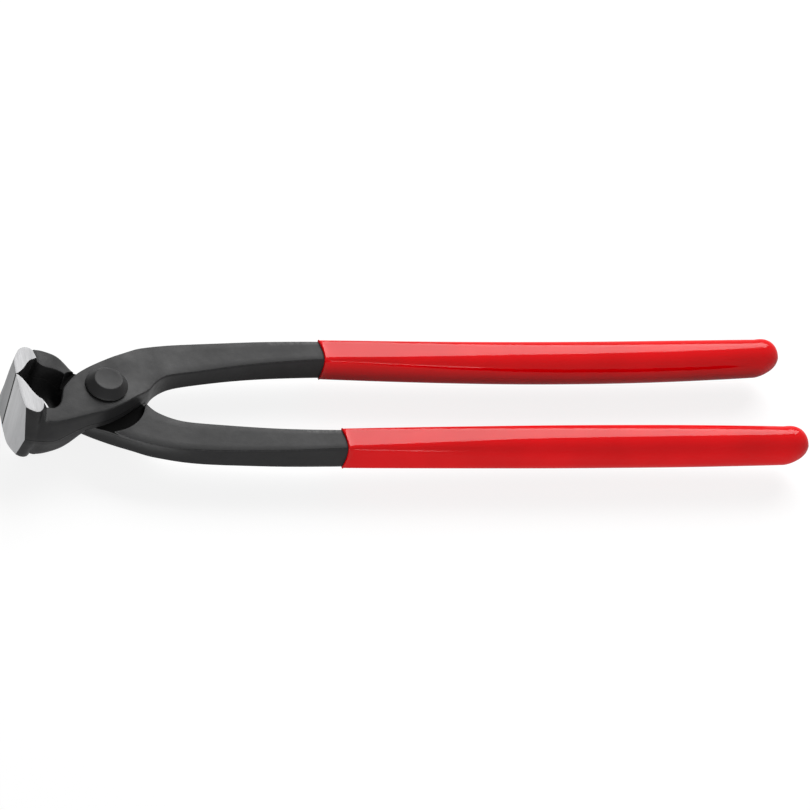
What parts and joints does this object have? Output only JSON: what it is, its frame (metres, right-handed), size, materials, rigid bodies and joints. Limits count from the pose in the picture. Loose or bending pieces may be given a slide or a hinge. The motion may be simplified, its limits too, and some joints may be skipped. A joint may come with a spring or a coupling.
{
  "type": "end cutting nippers",
  "caption": "Long-handled end-cutting nippers: two forged halves that cross at a rivet, with broad ground jaws across the end and dipped grips.",
  "frame": {"origin": "middle of the rivet's lower flat face, on the joint's axis", "axes": "+Z along the joint's axis, from the lower half's lap to the upper half's; +X along the closed handles, from the joint to the grips' ends; +Y from the lower half's handle to the upper half's"},
  "size_m": [0.2791, 0.0526, 0.0258],
  "materials": {
    "forged_steel": "forged steel, black oxidised and satin, ground bright on the jaws",
    "rivet_steel": "steel, black oxidised, satin",
    "red_dip": "dipped soft plastic, red and glossy"
  },
  "bodies": {
    "fixed": {"lower_half": "forged_steel", "rivet": "rivet_steel", "lower_grip": "red_dip"},
    "moving": {"upper_half": "forged_steel", "upper_grip": "red_dip"}
  },
  "joints": [
    {"name": "opening", "type": "hinge", "parent": "fixed", "child": "moving", "pos_m": [0, 0, 0.01165], "axis": [0, 0, 1], "range_deg": [0, 36]}
  ]
}
